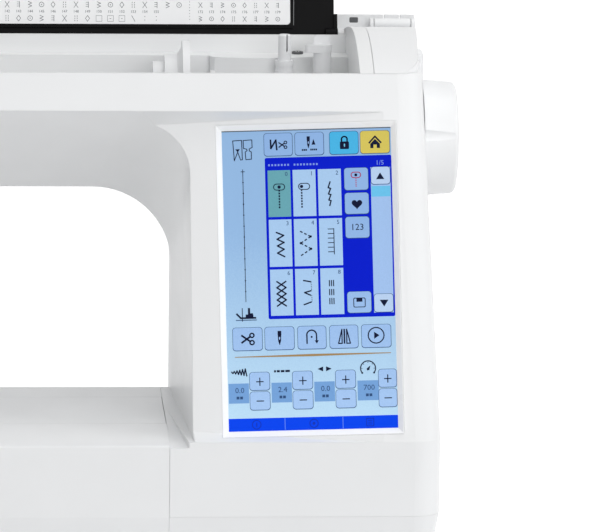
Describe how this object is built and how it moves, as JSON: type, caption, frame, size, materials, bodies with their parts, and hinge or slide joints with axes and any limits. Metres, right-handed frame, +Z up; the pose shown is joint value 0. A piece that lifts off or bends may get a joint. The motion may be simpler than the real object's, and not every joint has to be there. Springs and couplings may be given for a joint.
{
  "type": "sewing machine",
  "caption": "Free-arm sewing machine with a tall touch screen in its column, an open lidded thread tray, a handwheel and a slide-off extension table.",
  "frame": {"origin": "on the table plane under the feet, beside the middle of the bed, straight below the arm", "axes": "+X to the handwheel end, +Y to the back, +Z up"},
  "size_m": [0.478, 0.1806, 0.3843],
  "materials": {
    "white_shell": "smooth satin",
    "tray_grey": "fine grain",
    "winder_white": "smooth",
    "lid_black": "satin",
    "card_white": "printed sheet",
    "screen_frame": "smooth",
    "screen_glass": "flat glass over a lit display",
    "display": "matt",
    "button_grey": "smooth",
    "socket_black": "fine grain",
    "cover_clear": "smooth",
    "steel": "ground",
    "bright_steel": "polished",
    "frame_alloy": "as cast",
    "bronze": "turned",
    "belt_rubber": "matt",
    "foot_rubber": "matt",
    "motor_paint": "satin",
    "board_green": "solder mask",
    "pulley_plastic": "moulded"
  },
  "bodies": {
    "housing": {"bar_guide": "steel", "base_pan": "white_shell", "base_screws": "bright_steel", "bobbin_case": "pulley_plastic", "drive_belt": "belt_rubber", "face_cover": "white_shell", "free_arm": "white_shell", "front_cover": "white_shell", "lcd_module": "display", "machine_frame": "frame_alloy", "main_board": "board_green", "main_motor": "motor_paint", "needle_plate": "steel", "power_inlet": "socket_black", "rear_cover": "white_shell", "rubber_feet": "foot_rubber", "screen_bezel": "screen_frame", "shaft_bushes": "bronze", "spool_pin": "winder_white", "switch_case": "socket_black", "timing_belt": "belt_rubber", "top_end_cap": "white_shell", "top_tray": "tray_grey", "touch_glass": "screen_glass", "tray_screw": "bright_steel", "wheel_collar": "white_shell"},
    "main_shaft": {"upper_shaft": "steel", "handwheel": "white_shell", "upper_pulley": "pulley_plastic", "drive_pulley": "pulley_plastic", "crank_disc": "steel"},
    "lower_shaft": {"lower_shaft": "steel", "lower_pulley": "pulley_plastic", "lower_gear": "steel"},
    "hook": {"hook": "steel"},
    "motor_rotor": {"motor_pulley": "pulley_plastic"},
    "bobbin": {"bobbin": "pulley_plastic"},
    "needle_bar": {"needle_bar": "steel", "needle_clamp": "bright_steel", "clamp_screw": "bright_steel", "needle": "bright_steel"},
    "take_up": {"take_up_lever": "bright_steel"},
    "presser": {"presser_bar": "steel", "presser_holder": "steel", "presser_foot": "bright_steel"},
    "lifter": {"lifter_lever": "steel"},
    "feed_dog": {"feed_dog": "steel"},
    "bobbin_cover": {"bobbin_cover": "cover_clear"},
    "table": {"extension_table": "white_shell"},
    "lid": {"lid_shell": "lid_black", "lid_liner": "lid_black", "stitch_card": "card_white"},
    "handle": {"carry_handle": "white_shell"},
    "winder": {"winder_spindle": "winder_white"},
    "winder_stop": {"winder_stop": "winder_white"},
    "spool_cap": {"spool_cap": "winder_white"},
    "start_button": {"start_button": "button_grey"},
    "reverse_button": {"reverse_button": "button_grey"},
    "speed_slider": {"speed_slider": "button_grey"},
    "switch_rocker": {"power_switch": "socket_black"}
  },
  "joints": [
    {"name": "handwheel_turn", "type": "hinge", "parent": "housing", "child": "main_shaft", "pos_m": [0, 0.005, 0.232], "axis": [1, 0, 0], "continuous": true},
    {"name": "lower_shaft_turn", "type": "hinge", "parent": "housing", "child": "lower_shaft", "pos_m": [0, 0.005, 0.046], "axis": [1, 0, 0], "continuous": true},
    {"name": "hook_turn", "type": "hinge", "parent": "housing", "child": "hook", "pos_m": [-0.113, -0.012, 0.062], "axis": [0, 0, 1], "continuous": true},
    {"name": "motor_turn", "type": "hinge", "parent": "housing", "child": "motor_rotor", "pos_m": [0.2, -0.032, 0.14], "axis": [1, 0, 0], "continuous": true},
    {"name": "bobbin_turn", "type": "hinge", "parent": "housing", "child": "bobbin", "pos_m": [-0.113, -0.012, 0.07], "axis": [0, 0, 1], "continuous": true},
    {"name": "needle_stroke", "type": "slide", "parent": "housing", "child": "needle_bar", "axis": [0, 0, 1], "range_m": [-0.026, 0]},
    {"name": "take_up_swing", "type": "hinge", "parent": "housing", "child": "take_up", "pos_m": [-0.101, -0.01, 0.228], "axis": [1, 0, 0], "range_deg": [0, 50]},
    {"name": "presser_lift", "type": "slide", "parent": "housing", "child": "presser", "axis": [0, 0, 1], "range_m": [0, 0.006]},
    {"name": "lifter_swing", "type": "hinge", "parent": "housing", "child": "lifter", "pos_m": [-0.101, 0.026, 0.17], "axis": [1, 0, 0], "range_deg": [0, 45]},
    {"name": "feed_stroke", "type": "slide", "parent": "housing", "child": "feed_dog", "axis": [0, 1, 0], "range_m": [-0.0015, 0.0015]},
    {"name": "bobbin_cover_lift", "type": "slide", "parent": "housing", "child": "bobbin_cover", "axis": [0, 0, 1], "range_m": [0, 0.01]},
    {"name": "table_slide", "type": "slide", "parent": "housing", "child": "table", "axis": [-1, 0, 0], "range_m": [0, 0.3]},
    {"name": "lid_swing", "type": "hinge", "parent": "housing", "child": "lid", "pos_m": [0, 0.046, 0.281], "axis": [1, 0, 0], "range_deg": [0, 99]},
    {"name": "handle_swing", "type": "hinge", "parent": "housing", "child": "handle", "pos_m": [0, 0.0615, 0.2852], "axis": [1, 0, 0], "range_deg": [0, 90]},
    {"name": "winder_turn", "type": "hinge", "parent": "housing", "child": "winder", "pos_m": [0.1547, 0.012, 0.257], "axis": [0, 0, 1], "continuous": true},
    {"name": "winder_stop_turn", "type": "hinge", "parent": "housing", "child": "winder_stop", "pos_m": [0.1744, 0.01, 0.257], "axis": [0, 0, 1], "range_deg": [-30, 30]},
    {"name": "spool_cap_slide", "type": "slide", "parent": "housing", "child": "spool_cap", "axis": [-1, 0, 0], "range_m": [0, 0.04]},
    {"name": "start_press", "type": "slide", "parent": "housing", "child": "start_button", "axis": [0, 0.9804, -0.1971], "range_m": [0, 0.0012], "stiffness_N_per_m": 600},
    {"name": "reverse_press", "type": "slide", "parent": "housing", "child": "reverse_button", "axis": [0, 0.9804, -0.1971], "range_m": [0, 0.0012], "stiffness_N_per_m": 600},
    {"name": "speed_slide", "type": "slide", "parent": "housing", "child": "speed_slider", "axis": [1, 0, 0], "range_m": [-0.016, 0.016]},
    {"name": "power_rock", "type": "hinge", "parent": "housing", "child": "switch_rocker", "pos_m": [0.15, 0.061, 0.07], "axis": [0, 0, 1], "range_deg": [-8, 8]}
  ],
  "couplings": [
    {"joint": "lower_shaft_turn", "follows": "handwheel_turn", "ratio": 1},
    {"joint": "hook_turn", "follows": "handwheel_turn", "ratio": -2},
    {"joint": "motor_turn", "follows": "handwheel_turn", "ratio": 3.6667},
    {"joint": "lifter_swing", "follows": "presser_lift", "rad_per_m": 130.89}
  ]
}
